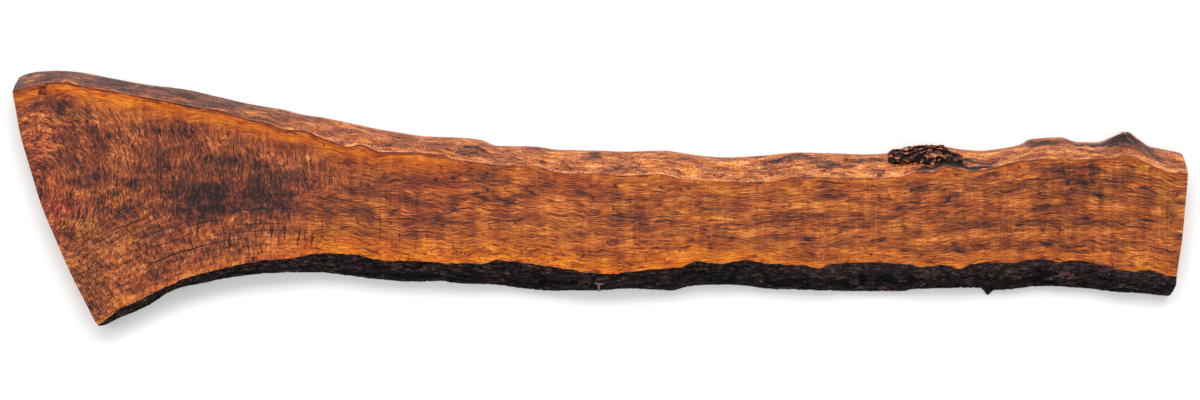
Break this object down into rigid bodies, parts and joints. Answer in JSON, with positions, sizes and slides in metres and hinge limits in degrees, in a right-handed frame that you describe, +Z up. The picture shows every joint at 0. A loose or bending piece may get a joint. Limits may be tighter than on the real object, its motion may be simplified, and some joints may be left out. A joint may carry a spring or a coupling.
{
  "type": "walnut wood slab",
  "caption": "Thick live-edge walnut slab that widens into a root flare at one end, with one bare natural edge and one that keeps its bark.",
  "frame": {"origin": "middle of the underside's box, on the surface that the slab lies on", "axes": "+X along the slab from the flared end to the narrow end, +Y towards the bare natural edge, +Z up out of the top face"},
  "size_m": [2.4406, 0.5336, 0.07],
  "materials": {
    "walnut": "wiped with oil, satin: golden to orange near the natural edges, dark brown heart with a curly figure in the flare",
    "bark": "near-black furrowed bark, dull, its sawn edge grey-brown",
    "scrap_bark": "dark red-brown bark in long plates, dull to satin"
  },
  "bodies": {
    "root": {"slab": "walnut", "bark_edge": "bark", "bark_scrap": "scrap_bark"}
  },
  "joints": []
}
